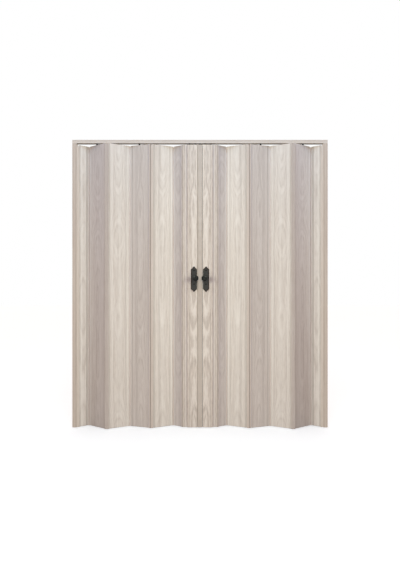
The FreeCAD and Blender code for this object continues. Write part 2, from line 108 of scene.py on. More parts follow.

# Lines of painted highlight and painted shade in the print: along the extrusions' edges and
# on the track's face, where small ribs and steps would catch or lose the light, at the folds and
# joints, and on strip 4, the shade at its edge. Place and half width in mm, and gain, pale above
# 0 and dark below. A panel's places run from its edge nearer the jamb, the track's from the
# floor, and all others from the middle of the door.
PAINTED_LIGHT_LINES = {
    "jamb_half_panel": ((9.8, 8, -0.2), (22.5, 8, 0.4), (55.5, 8, -0.5)),
    "panel_a": ((7, 11, 0.45), (92, 36, 0.27), (131, 7, -0.15)),
    "panel_b": ((13, 7, -0.24), (32, 8, 0.35), (82, 18, 0.25), (119, 8, -0.12), (133, 7, 0.3)),
    "panel_c": ((0, 8, 0.9), (14.6, 6, -0.25), (26, 8, 0.2), (48, 12, -0.12), (140, 10, 1.0)),
    "panel_d": (
        (17, 12, -0.3), (38, 7, 0.1), (52, 11, -0.18), (78, 14, 0.25), (126, 8, -0.15),
        (136, 7, 0.35)),
    "lead_half_panel": ((4, 8, 0.7), (31, 18, 0.25), (52, 7, 0.5), (63.7, 5, -0.4)),
    "strip_4": ((347.8, 3.6, -1.0),),
    "track": ((2028, 6.5, -0.1), (2013.5, 5.5, 0.3)),
    "jamb": ((887, 4.5, 0.35), (876, 3, -0.1)),
    "starter": ((869.5, 4.5, 0.35), (852, 4.5, -0.12)),
    "lead_post": (
        (123.5, 4.5, -0.7), (107, 16, -0.13), (98.5, 6.5, 1.0), (73.5, 4.5, -0.16), (41, 9, 0.3)),
}

# The noises in the oak print: width and length of a spot, detail, roughness, and a shift that keeps
# them apart. Real pores, rays and fibres are under 1 mm wide, and are drawn coarser so they show.
SPOTS = {
    "drift": (120 * MM, 500 * MM, 2, 0.55, 3),
    "pith": (4000 * MM, 550 * MM, 1, 0.55, 7),
    "ring_wobble": (8 * MM, 60 * MM, 2, 0.55, 5),
    "arch_wobble": (12 * MM, 60 * MM, 2, 0.55, 29),
    "bundles": (16 * MM, 900 * MM, 2, 0.55, 11),
    "pores": (2.2 * MM, 30 * MM, 2, 0.7, 17),
    "rays": (6 * MM, 50 * MM, 2, 0.6, 23),
}


# ---------------------------------------------------------------- colour and nodes

def linear(code):
    """Linear RGBA of an sRGB hex colour."""
    channels = [int(code[i:i + 2], 16) / 255 for i in (1, 3, 5)]
    return [c / 12.92 if c <= 0.04045 else ((c + 0.055) / 1.055) ** 2.4 for c in channels] + [1.0]


def add(tree, kind, inputs=(), out=0, **settings):
    """Add a node, set its properties, fill or wire its inputs, and return one of its outputs."""
    node = tree.nodes.new("ShaderNode" + kind)
    for name, value in settings.items():
        setattr(node, name, value)
    for key, value in inputs.items() if isinstance(inputs, dict) else enumerate(inputs):
        socket = node.inputs[key]
        if isinstance(value, bpy.types.NodeSocket):
            tree.links.new(value, socket)
        else:
            socket.default_value = value
    return node.outputs[out] if node.outputs else None


def new_material(name):
    """Material with an empty tree, and the tree."""
    material = bpy.data.materials.new(name)
    material.use_nodes = True
    material.node_tree.nodes.clear()
    return material, material.node_tree


def seen_by(tree, *kinds):
    """1 for rays of the given kinds, such as "Camera" and "Glossy", and 0 for all others."""
    path = add(tree, "LightPath").node.outputs
    seen = path["Is %s Ray" % kinds[0]]
    for kind in kinds[1:]:
        other = path["Is %s Ray" % kind]
        seen = add(tree, "Math", (seen, other), operation="ADD", use_clamp=True)
    return seen


# ---------------------------------------------------------------- settings

class DoorVinylSettings(bpy.types.PropertyGroup):
    """Oak print and embossing of the plastic extrusions."""
    oak: FloatVectorProperty(
        name="Oak print", description="Main colour of the whitewashed oak print",
        subtype="COLOR", size=4, min=0, max=1, default=linear("#d2c9c1"))
    # Also the colour of the painted highlights along the extrusions' edges and the track's face.
    lime: FloatVectorProperty(
        name="Lime wash", description="Pale streaks where the lime wash fills the pores",
        subtype="COLOR", size=4, min=0, max=1, default=linear("#e9e4de"))
    grain: FloatVectorProperty(
        name="Late wood", description="Darker lines at the edge of each year's ring",
        subtype="COLOR", size=4, min=0, max=1, default=linear("#b0a39a"))
    # The dark ink of the flecks and arches, which also serves as the painted shade at edges, folds
    # and joints.
    shade: FloatVectorProperty(
        name="Dark ink and shade", description="Dark colour that settles in the fine grooves",
        subtype="COLOR", size=4, min=0, max=1, default=linear("#6e6259"))
    # Painted shade: the dark colour of the track's faces that look down, inside and underneath.
    underside_shade: FloatVectorProperty(
        name="Underside shade", description="Unprinted plastic inside and under the track",
        subtype="COLOR", size=4, min=0, max=1, default=linear("#8a7d72"))
    ring_pitch: FloatProperty(
        name="Ring pitch", description="Distance between the rings of the figure",
        subtype="DISTANCE", unit="LENGTH", default=9 * MM, min=MM)
    arch_pitch: FloatProperty(
        name="Arch pitch", description="Distance between the broad arches over the rings",
        subtype="DISTANCE", unit="LENGTH", default=17 * MM, min=MM)
    streak_width: FloatProperty(
        name="Streak width", description="Width of one bundle of fibres",
        subtype="DISTANCE", unit="LENGTH", default=3.5 * MM, min=0.1 * MM)
    streak_length: FloatProperty(
        name="Streak length", description="Length of one bundle of fibres",
        subtype="DISTANCE", unit="LENGTH", default=260 * MM, min=MM)
    emboss: FloatProperty(
        name="Embossing", description="Depth of the grain rolled into the surface",
        subtype="DISTANCE", unit="LENGTH", default=0.25 * MM, min=0)
    edge: FloatProperty(
        name="Edge radius", description="Rounding of the extrusions' outer edges",
        subtype="DISTANCE", unit="LENGTH", default=0.5 * MM, min=0)


class DoorHandleSettings(bpy.types.PropertyGroup):
    """Black iron plates and knobs."""
    iron: FloatVectorProperty(
        name="Iron", description="Colour of the blacked iron",
        subtype="COLOR", size=4, min=0, max=1, default=linear("#343533"))
    worn: FloatVectorProperty(
        name="Worn iron", description="Browner colour where the blacking is thin",
        subtype="COLOR", size=4, min=0, max=1, default=linear("#4c443d"))
    # Painted shade: the dark brown put on the plates' outer edges and points.
    cut: FloatVectorProperty(
        name="Cut edge", description="Dark brown of the plates' bevelled edges",
        subtype="COLOR", size=4, min=0, max=1, default=linear("#2a170d"))
    knob_iron: FloatVectorProperty(
        name="Knob iron", description="Deeper black of the knobs",
        subtype="COLOR", size=4, min=0, max=1, default=linear("#151616"))
    screw: FloatVectorProperty(
        name="Screws", description="Black of the plates' screws",
        subtype="COLOR", size=4, min=0, max=1, default=linear("#0a0909"))
    border: FloatProperty(
        name="Border", description="Width of the smooth border round the hammered field",
        subtype="DISTANCE", unit="LENGTH", default=2.6 * MM, min=0)
    cut_width: FloatProperty(
        name="Cut edge width", description="Width of the bevel round a plate",
        subtype="DISTANCE", unit="LENGTH", default=2.2 * MM, min=0)
    field_depth: FloatProperty(
        name="Field depth", description="Depth of the hammered field below the border",
        subtype="DISTANCE", unit="LENGTH", default=0.5 * MM, min=0)
    dent_size: FloatProperty(
        name="Dent size", description="Width of one hammer dent",
        subtype="DISTANCE", unit="LENGTH", default=7 * MM, min=MM)
    dent_depth: FloatProperty(
        name="Dent depth", description="Depth of one hammer dent",
        subtype="DISTANCE", unit="LENGTH", default=0.6 * MM, min=0)
    knob_edge: FloatProperty(
        name="Knob edges", description="Width of the flat along the edges between the knob's faces",
        subtype="DISTANCE", unit="LENGTH", default=0.9 * MM, min=0)
    knob_sides: IntProperty(
        name="Knob sides", description="Number of faces round the knob", default=8, min=3)


class DoorRunnerSettings(bpy.types.PropertyGroup):
    """Hangers, wheels and the closing strips."""
    hanger_paint: FloatVectorProperty(
        name="Hanger paint", description="Dark paint of the hangers",
        subtype="COLOR", size=4, min=0, max=1, default=linear("#141110"))
    nylon: FloatVectorProperty(
        name="Nylon", description="Natural nylon of the wheels",
        subtype="COLOR", size=4, min=0, max=1, default=linear("#e2ded3"))
    zinc: FloatVectorProperty(
        name="Zinc", description="Bright zinc on the steel rod and strike",
        subtype="COLOR", size=4, min=0, max=1, default=linear("#b9babb"))
    magnet: FloatVectorProperty(
        name="Magnet", description="Brown-black of the flexible magnet",
        subtype="COLOR", size=4, min=0, max=1, default=linear("#2b2724"))


class DoorStudioSettings(bpy.types.PropertyGroup):
    """Camera, lamps, world and floor."""
    eye_height: FloatProperty(
        name="Eye height", description="Height of the lens above the floor",
        subtype="DISTANCE", unit="LENGTH", default=1.0066)
    eye_distance: FloatProperty(
        name="Eye distance", description="Distance of the lens in front of the track",
        subtype="DISTANCE", unit="LENGTH", default=2.512)
    lens: FloatProperty(
        name="Lens", description="Focal length on a 36 mm frame",
        subtype="DISTANCE_CAMERA", unit="CAMERA", default=22.35)
    key_power: FloatProperty(
        name="Key power", description="Power of each leaf's lamp",
        subtype="POWER", unit="POWER", default=52.9, min=0)
    front_power: FloatProperty(
        name="Front power", description="Power of the lamp for the track, centre strip and floor",
        subtype="POWER", unit="POWER", default=18.2, min=0)
    glint_power: FloatProperty(
        name="Glint power", description="Power of the small lamps on the knobs",
        subtype="POWER", unit="POWER", default=40.0, min=0)
    top_power: FloatProperty(
        name="Top power", description="Power of the cool lamp above the door",
        subtype="POWER", unit="POWER", default=15.2, min=0)
    sky: FloatVectorProperty(
        name="Room light", description="Colour of the light from all round",
        subtype="COLOR", size=4, min=0, max=1, default=linear("#fff2ee"))
    sky_strength: FloatProperty(
        name="Room strength", description="Strength of the light from all round",
        default=0.934, min=0)
    floor: FloatVectorProperty(
        name="Floor", description="Colour of the pale floor",
        subtype="COLOR", size=4, min=0, max=1, default=linear("#e7ecee"))
    bounce: FloatVectorProperty(
        name="Bounce", description="Colour of the light that the floor throws up on the door",
        subtype="COLOR", size=4, min=0, max=1, default=linear("#94908c"))
    glow: FloatProperty(
        name="Floor glow", description="Light that the floor adds of itself where it is seen",
        default=0.27, min=0)


# ---------------------------------------------------------------- materials

def oak_vinyl(extrusion, centre, seed, figure, axis="Z", lines_from=None, fleck=0.14, arches=0.0):
    """Rigid PVC, extruded, printed with whitewashed oak and embossed while warm.

    It looks like matt limed oak: pale streaks in the pores, darker rings and pointed arches, silky
    flecks, and a soft satin sheen that follows the embossed fibres. The right half of the door
    mirrors the left. All of the print is drawn coarser than real oak, so that it shows.

    centre is the middle of the rings across the grain, seed a shift along it, and a panel's edge
    nearer the jamb, where given, is where its lines of painted highlight and shade are measured
    from. figure, fleck and arches are the strengths of the rings, the flecks and the arches. On the
    track, the faces that look down are darkened as painted shade.
    """
    vinyl = bpy.context.scene.door_vinyl
    # The tone of the back-fold strips holds painted light.
    tone_and_light = TONES_AND_PAINTED_LIGHT.get(extrusion, (1, 1, 1))
    # wash also draws the painted highlights, and shade the painted shade, beside the print's own
    # inks.
    oak, grain, wash, shade = (
        [min(1.0, c * t) for c, t in zip(ink, tone_and_light)] + [1.0]
        for ink in (vinyl.oak, vinyl.grain, vinyl.lime, vinyl.shade))
    material, tree = new_material("oak_vinyl_" + extrusion)
    place = add(tree, "TexCoord", out="Object")
    xyz = add(tree, "SeparateXYZ", (place,)).node.outputs
    mirrored = add(tree, "Math", (xyz[0],), operation="ABSOLUTE")
    measure, along = (mirrored, xyz[2]) if axis == "Z" else (xyz[2], mirrored)
    across = add(tree, "Math", (measure, centre), operation="SUBTRACT")
    along = add(tree, "Math", (along, seed), operation="ADD")
    # A panel's lines of painted highlight and shade are measured from its edge nearer the jamb.
    if lines_from:
        measure = add(tree, "Math", (lines_from, mirrored), operation="SUBTRACT")

    def spots(width, length, detail, roughness, shift):
        """Noise drawn out along the grain."""
        stretched = add(tree, "CombineXYZ", (
            add(tree, "Math", (across, width), operation="DIVIDE"),
            add(tree, "Math", (xyz[1], 1 / width, 0.5), operation="MULTIPLY_ADD"),
            add(tree, "Math", (along, length), operation="DIVIDE")))
        return add(tree, "TexNoise", {
            "Vector": stretched, "W": shift, "Scale": 1.0, "Detail": detail, "Roughness": roughness,
        }, noise_dimensions="4D")

    # The pith drifts to both sides and in and out of the board, and so the rings draw arches.
    drift = add(tree, "Math", (spots(*SPOTS["drift"]), 0.5), operation="SUBTRACT")
    side = add(tree, "Math", (drift, 26 * MM, across), operation="MULTIPLY_ADD")
    depth = add(
        tree, "Math", (spots(*SPOTS["pith"]), 150 * MM, -40 * MM), operation="MULTIPLY_ADD")
    from_pith = add(tree, "CombineXYZ", (side, depth))
    radius = add(tree, "VectorMath", (from_pith,), out="Value", operation="LENGTH")

    def rings(pitch, wobble):
        """Rings round the pith, from 0 at the edge of each to 1 in its middle."""
        count = add(tree, "Math", (radius, pitch), operation="DIVIDE")
        count = add(tree, "Math", (spots(*wobble), 0.9, count), operation="MULTIPLY_ADD")
        half = add(tree, "Math", (count, 0.5), operation="PINGPONG")
        return add(tree, "Math", (half, 2.0), operation="MULTIPLY")

    late = rings(vinyl.ring_pitch, SPOTS["ring_wobble"])
    late = add(tree, "Math", (late, 2.2), operation="POWER")
    fibres = spots(vinyl.streak_width, vinyl.streak_length, detail=4, roughness=0.6, shift=0)
    pore = add(tree, "MapRange", (spots(*SPOTS["pores"]), 0.52, 0.75))
    rays = spots(*SPOTS["rays"])
    # How strongly each ink covers what lies under it: dark bundles, late wood, lime in the fibres
    # and in the pores, and the pale and the dark side of the flecks.
    layers = [
        (add(tree, "MapRange", (spots(*SPOTS["bundles"]), 0.42, 0.75, 0.0, 0.45)), grain),
        (add(tree, "Math", (late, 0.42 * figure), operation="MULTIPLY"), grain),
        (add(tree, "MapRange", (fibres, 0.46, 0.72, 0.0, 0.62)), wash),
        (add(tree, "Math", (pore, 0.3), operation="MULTIPLY"), wash),
        (add(tree, "MapRange", (rays, 0.5, 0.68, 0.0, fleck)), wash),
        (add(tree, "MapRange", (rays, 0.32, 0.5, 0.45 * fleck, 0.0)), shade),
    ]
    if arches:
        band = rings(vinyl.arch_pitch, SPOTS["arch_wobble"])
        off = add(tree, "Math", (across,), operation="ABSOLUTE")
        heart = add(tree, "MapRange", (off, 12 * MM, 34 * MM, arches, 0.1 * arches))
        for ink, limits in ((wash, (0.5, 0.9, 0.0, 1.0)), (shade, (0.1, 0.45, 0.3, 0.0))):
            arch = add(tree, "MapRange", (band, *limits))
            layers.append((add(tree, "Math", (arch, heart), operation="MULTIPLY"), ink))
    # Lines of painted highlight, in the lime colour, and of painted shade.
    for middle, spread, gain in PAINTED_LIGHT_LINES.get(extrusion, ()):
        off = add(tree, "Math", (measure, middle * MM), operation="SUBTRACT")
        off = add(tree, "Math", (off,), operation="ABSOLUTE")
        near = add(tree, "MapRange", (off, 0.0, spread * MM, abs(gain), 0.0))
        layers.append((near, wash if gain > 0 else shade))
    if axis == "X":  # painted shade: faces of the track that look down are darkened
        upward = add(tree, "SeparateXYZ", (add(tree, "NewGeometry", out="Normal"),), out=2)
        layers.append((add(tree, "MapRange", (upward, -0.5, -0.8)), vinyl.underside_shade))
    colour = oak
    for strength, ink in layers:
        colour = add(tree, "Mix", {0: strength, 6: colour, 7: ink}, out=2, data_type="RGBA")

    height = add(tree, "Math", (late, -0.15), operation="MULTIPLY")
    height = add(tree, "Math", (fibres, 0.7, height), operation="MULTIPLY_ADD")
    height = add(tree, "Math", (pore, -0.35, height), operation="MULTIPLY_ADD")
    shader = add(tree, "BsdfPrincipled", {
        "Base Color": colour, "IOR": 1.53, "Specular IOR Level": 0.35,
        "Roughness": add(tree, "MapRange", (fibres, 0.3, 0.7, 0.56, 0.44)),
        "Normal": add(tree, "Bump", {
            "Strength": 0.55, "Distance": vinyl.emboss, "Height": height}),
    })
    add(tree, "OutputMaterial", (shader,))
    return material


def blacked_iron(name, colour, worn_colour, sheen=0.5, metal=0.35):
    """Cast iron, hammered and blacked: dull, dark, uneven, with soft glints on the dents."""
    material, tree = new_material(name)
    place = add(tree, "TexCoord", out="Object")
    cloud, speck = (
        add(tree, "TexNoise", {
            "Vector": place, "Scale": 1 / size, "Detail": detail, "Roughness": 0.6})
        for size, detail in ((18 * MM, 4), (1.2 * MM, 2)))
    thin = add(tree, "MapRange", (cloud, 0.45, 0.75, 0.0, 0.6))
    ridge = add(tree, "NewGeometry", out="Pointiness")
    rubbed = add(tree, "MapRange", (ridge, 0.52, 0.6, 0.0, 0.5))
    worn = add(tree, "Math", (thin, rubbed), operation="ADD", use_clamp=True)
    height = add(tree, "Math", (cloud, 2.0, speck), operation="MULTIPLY_ADD")
    shader = add(tree, "BsdfPrincipled", {
        "Base Color": add(
            tree, "Mix", {0: worn, 6: colour, 7: worn_colour}, out=2, data_type="RGBA"),
        "Roughness": add(tree, "MapRange", (cloud, 0.3, 0.7, 0.42, 0.6)),
        "Metallic": metal, "Specular IOR Level": sheen,
        "Normal": add(tree, "Bump", {"Strength": 0.5, "Distance": 0.12 * MM, "Height": height}),
    })
    add(tree, "OutputMaterial", (shader,))
    return material


def painted_steel(name, colour, sheen=0.5):
    """Pressed steel under dark enamel: smooth, with slight orange peel and a little dust."""
    material, tree = new_material(name)
    place = add(tree, "TexCoord", out="Object")
    peel = add(tree, "TexNoise", {"Vector": place, "Scale": 1 / (1.5 * MM), "Detail": 2.0})
    dust = add(tree, "TexNoise", {"Vector": place, "Scale": 1 / (9 * MM), "Detail": 3.0})
    dusty = [min(1.0, c * 1.8 + 0.01) for c in colour[:3]] + [1.0]
    tint = add(tree, "MapRange", (dust, 0.5, 0.8))
    shader = add(tree, "BsdfPrincipled", {
        "Base Color": add(tree, "Mix", {0: tint, 6: colour, 7: dusty}, out=2, data_type="RGBA"),
        "Roughness": add(tree, "MapRange", (dust, 0.3, 0.7, 0.3, 0.48)),
        "Specular IOR Level": sheen,
        "Normal": add(tree, "Bump", {"Strength": 0.4, "Distance": 0.05 * MM, "Height": peel}),
    })
    add(tree, "OutputMaterial", (shader,))
    return material


def moulded_nylon(name, colour):
    """Natural nylon, injection moulded: milky, slightly see-through, grey where the rail rubs."""
    material, tree = new_material(name)
    place = add(tree, "TexCoord", out="Object")
    smear = add(tree, "TexNoise", {"Vector": place, "Scale": 1 / (4 * MM), "Detail": 3.0})
    grey = [c * 0.72 for c in colour[:3]] + [1.0]
    tint = add(tree, "MapRange", (smear, 0.45, 0.75))
    shader = add(tree, "BsdfPrincipled", {
        "Base Color": add(tree, "Mix", {0: tint, 6: colour, 7: grey}, out=2, data_type="RGBA"),
        "Roughness": add(tree, "MapRange", (smear, 0.3, 0.7, 0.32, 0.5)),
        "IOR": 1.53, "Subsurface Weight": 0.15, "Subsurface Scale": 1.5 * MM,
    })
    add(tree, "OutputMaterial", (shader,))
    return material


def zinc_steel(name, colour):
    """Steel with bright zinc, drawn lengthwise: cool grey, with draw lines 1 mm wide."""
    material, tree = new_material(name)
    place = add(tree, "TexCoord", out="Object")
    stretched = add(tree, "Mapping", {"Vector": place, "Scale": (900, 60, 14)})
    lines = add(tree, "TexNoise", {"Vector": stretched, "Scale": 1.0, "Detail": 2.0})
    dull = [c * 0.7 for c in colour[:3]] + [1.0]
    shader = add(tree, "BsdfPrincipled", {
        "Base Color": add(tree, "Mix", {0: lines, 6: colour, 7: dull}, out=2, data_type="RGBA"),
        "Roughness": add(tree, "MapRange", (lines, 0.3, 0.7, 0.28, 0.42)),
        "Metallic": 1.0,
    })
    add(tree, "OutputMaterial", (shader,))
    return material


def magnet_rubber(name, colour):
    """Ferrite in flexible rubber, extruded: brown-black, matt, with faint lines 1.4 mm wide."""
    material, tree = new_material(name)
    place = add(tree, "TexCoord", out="Object")
    stretched = add(tree, "Mapping", {"Vector": place, "Scale": (700, 700, 20)})
    lines = add(tree, "TexNoise", {"Vector": stretched, "Scale": 1.0, "Detail": 3.0})
    pale = [c * 1.6 for c in colour[:3]] + [1.0]
    shader = add(tree, "BsdfPrincipled", {
        "Base Color": add(tree, "Mix", {0: lines, 6: colour, 7: pale}, out=2, data_type="RGBA"),
        "Roughness": 0.75,
        "Normal": add(tree, "Bump", {"Strength": 0.4, "Distance": 0.1 * MM, "Height": lines}),
    })
    add(tree, "OutputMaterial", (shader,))
    return material


def floor_paint(name, colour, bounce, glow):
    """Matt paint, rolled on: pale, with faint blotches a third of a metre wide.

    It glows a little where the camera or a mirror sees it, so that it looks white wherever nothing
    shades it, and throws less light up at the door than such a pale floor would.
    """
    material, tree = new_material(name)
    place = add(tree, "TexCoord", out="Object")
    blotch = add(tree, "TexNoise", {"Vector": place, "Scale": 3.0, "Detail": 4.0})
    lighter = [min(1.0, c * 1.04) for c in colour[:3]] + [1.0]
    tint = add(tree, "Mix", {0: blotch, 6: colour, 7: lighter}, out=2, data_type="RGBA")
    seen = seen_by(tree, "Camera", "Glossy")
    shader = add(tree, "BsdfPrincipled", {
        "Base Color": add(tree, "Mix", {0: seen, 6: bounce, 7: tint}, out=2, data_type="RGBA"),
        "Roughness": 0.9,
        "Emission Color": (1, 1, 1, 1),
        "Emission Strength": add(tree, "Math", (seen, glow), operation="MULTIPLY"),
    })
    add(tree, "OutputMaterial", (shader,))
    return material


# ---------------------------------------------------------------- pieces

def wear(piece, material):
    """Give a piece one material all over."""
    piece.data.materials.clear()
    piece.data.materials.append(material)


def dress(node, material, edge=0.0):
    """Finish a solid of the frame: its material, and edges rounded as its making leaves them."""
    piece = frame["nodes"][node]
    wear(piece, material)
    if edge:
        weld = piece.modifiers.new("weld", "WELD")
        weld.merge_threshold = HAIR
        flats = piece.modifiers.new("flats", "DECIMATE")
        flats.decimate_type = "DISSOLVE"
        flats.angle_limit = math.radians(2)
        round_off = piece.modifiers.new("edges", "BEVEL")
        round_off.width = edge
        round_off.segments = 2
        round_off.limit_method = "ANGLE"
        round_off.angle_limit = math.radians(50)
        round_off.use_clamp_overlap = True
        round_off.harden_normals = True


def start(name, primitive, scale=(1, 1, 1), **place):
    """Add a primitive on its own at its size and place, with its place in its mesh."""
    bpy.ops.object.select_all(action="DESELECT")
    primitive(**place)
    piece = bpy.context.object
    piece.name = name
    piece.data.name = name
    piece.scale = scale
    bpy.ops.object.transform_apply(location=True, rotation=True, scale=True)
    return piece


def pick(piece, kind, test):
    """Select the edges or faces in edit mode that pass a test."""
    bpy.ops.mesh.select_mode(type=kind)
    bpy.ops.mesh.select_all(action="DESELECT")
    shape = bmesh.from_edit_mesh(piece.data)
    picked = [part for part in (shape.edges if kind == "EDGE" else shape.faces) if test(part)]
    if not picked:
        raise ValueError("%s: no %s passes the test" % (piece.name, kind))
    for part in picked:
        part.select_set(True)
    shape.select_flush_mode()
    bmesh.update_edit_mesh(piece.data)


def extrude(offset):
    """Extrude what is selected by an offset."""
    bpy.ops.mesh.extrude_region_move(TRANSFORM_OT_translate={"value": offset})


def tidy_mesh():
    """Close the seams and point the faces outwards, in edit mode."""
    bpy.ops.mesh.select_all(action="SELECT")
    bpy.ops.mesh.remove_doubles(threshold=HAIR)
    bpy.ops.mesh.normals_make_consistent(inside=False)


def twin(piece, name, flip):
    """Copy of a piece with its own mesh, mirrored through the frame's planes."""
    bpy.ops.object.select_all(action="DESELECT")
    copy = piece.copy()
    copy.data = piece.data.copy()
    copy.name = name
    copy.data.name = name
    bpy.context.collection.objects.link(copy)
    bpy.context.view_layer.objects.active = copy
    copy.select_set(True)
    if flip != (1, 1, 1):
        bpy.ops.object.mode_set(mode="EDIT")
        bpy.ops.mesh.select_all(action="SELECT")
        bpy.ops.transform.resize(value=flip, center_override=(0, 0, 0))
        if flip[0] * flip[1] * flip[2] < 0:
            bpy.ops.mesh.flip_normals()
        bpy.ops.object.mode_set(mode="OBJECT")
    return copy


def apply_modifiers(piece):
    """Apply all of a piece's modifiers in order."""
    bpy.context.view_layer.objects.active = piece
    for modifier in list(piece.modifiers):
        bpy.ops.object.modifier_apply(modifier=modifier.name)


def on_each_face(piece, part):
    """Put a left front piece on all four faces of the leads, each in place of its solid."""
    for side, face in FOUR_FACES:
        flip = (1 if side == "left" else -1, 1 if face == "front" else -1, 1)
        own = twin(piece, "%s_%s_%s_iron" % (side, face, part), flip)
        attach(own, side + "_lead")
        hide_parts("%s_%s_%s" % (side, face, part))
    bpy.data.objects.remove(piece)


class DOOR_OT_frame(bpy.types.Operator):
    """Finish the head track and the jambs"""
    bl_idname = "door.finish_frame"
    bl_label = "Track and Jambs"

    def execute(self, context):
        edge = context.scene.door_vinyl.edge
        low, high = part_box("head_track")
        rail = oak_vinyl("track", centre=(low[2] + high[2]) / 2, seed=0.3, figure=0.4, axis="X")
        dress("head_track", rail, edge)
        post = oak_vinyl("jamb", centre=870 * MM, seed=1.7, figure=0.3)
        for side in SIDES:
            dress(side + "_jamb", post, edge)
        return {"FINISHED"}


class DOOR_OT_panels(bpy.types.Operator):
    """Finish the hollow panels"""
    bl_idname = "door.finish_panels"
    bl_label = "Panels"

    def execute(self, context):
        edge = context.scene.door_vinyl.edge
        for number, panel in enumerate(PANELS):
            low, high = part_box("right_" + panel)
            vinyl = oak_vinyl(
                panel, centre=(low[0] + high[0]) / 2, seed=2.9 * number + 0.4, figure=1.0,
                lines_from=high[0], arches=0.18)
            for side in SIDES:
                dress("%s_%s" % (side, panel), vinyl, edge)
        return {"FINISHED"}


class DOOR_OT_strips(bpy.types.Operator):
    """Finish the hinge strips and the starter strips"""
    bl_idname = "door.finish_strips"
    bl_label = "Hinge Strips"

    def execute(self, context):
        edge = context.scene.door_vinyl.edge
        starter = oak_vinyl("starter", centre=850 * MM, seed=6.6, figure=0.2)
        for side in SIDES:
            dress(side + "_starter_strip", starter, edge)
        for number, strip in enumerate(STRIPS):
            vinyl = oak_vinyl(strip, centre=500 * MM, seed=1.1 * number + 4.1, figure=0.2)
            for side in SIDES:
                dress("%s_%s" % (side, strip), vinyl, edge)
        return {"FINISHED"}


class DOOR_OT_leads(bpy.types.Operator):
    """Finish the lead posts and the centre strip between them"""
    bl_idname = "door.finish_leads"
    bl_label = "Lead Posts"

    def execute(self, context):
        edge = context.scene.door_vinyl.edge
        low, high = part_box("right_lead_post")
        post = oak_vinyl(
            "lead_post", centre=(low[0] + high[0]) / 2 - 32 * MM, seed=9.1, figure=1.2, fleck=0.4,
            arches=0.62)
        for side in SIDES:
            dress(side + "_lead_post", post, edge)
        centre = oak_vinyl("centre_strip", centre=0.0, seed=12.3, figure=0.4, fleck=0.22)
        dress("centre_strip", centre, edge)
        return {"FINISHED"}


class DOOR_OT_runners(bpy.types.Operator):
    """Finish the hangers and their wheels"""
    bl_idname = "door.finish_runners"
    bl_label = "Hangers and Wheels"

    def execute(self, context):
        runner = context.scene.door_runner
        paint = painted_steel("enamelled_steel_hanger", runner.hanger_paint)
        nylon = moulded_nylon("moulded_nylon_wheel", runner.nylon)
        for node in frame["nodes"]:
            if node.endswith("hanger") or node.endswith("hangers"):
                dress(node, paint, edge=0.3 * MM)
            elif "wheels" in node:
                dress(node, nylon, edge=0.25 * MM)
        return {"FINISHED"}


class DOOR_OT_closing(bpy.types.Operator):
    """Finish the magnet, its strike and the rods between the knobs"""
    bl_idname = "door.finish_closing"
    bl_label = "Magnet, Strike and Rods"

    def execute(self, context):
        runner = context.scene.door_runner
        zinc = zinc_steel("zinc_plated_steel", runner.zinc)
        rubber = magnet_rubber("flexible_magnet", runner.magnet)
        dress("magnet_strip", rubber, edge=0.2 * MM)
        dress("strike_strip", zinc, edge=0.2 * MM)
        for side in SIDES:
            dress(side + "_knob_rod", zinc)
        return {"FINISHED"}


# The upper (1) and lower (-1) end of a handle plate: height of its point, width of its shoulders
# and swell of its curves. Its very tip is blunt, and POINT is half as wide.
PLATE_ENDS = {1: (19 * MM, 4 * MM, 0.9 * MM), -1: (20.5 * MM, 2.5 * MM, 0.2 * MM)}
POINT = 0.02 * MM


def ogee(width, tip, shoulder, swell, steps=6):
    """Half widths and heights of a plate's end, from its straight edge to its point."""
    ledge = width / 2 - shoulder
    stations = [(ledge, shoulder)]
    corners = [(ledge, shoulder), (ledge / 2, (shoulder + tip) / 2), (0.0, tip)]
    for part, way in ((0, -1), (1, 1)):
        (x0, z0), (x1, z1) = corners[part], corners[part + 1]
        length = math.hypot(x1 - x0, z1 - z0)
        for step in range(1, steps + 1):
            t = step / steps
            off = way * swell * 4 * t * (1 - t)
            stations.append((
                x0 + (x1 - x0) * t + off * (z1 - z0) / length,
                z0 + (z1 - z0) * t - off * (x1 - x0) / length,
            ))
    return stations


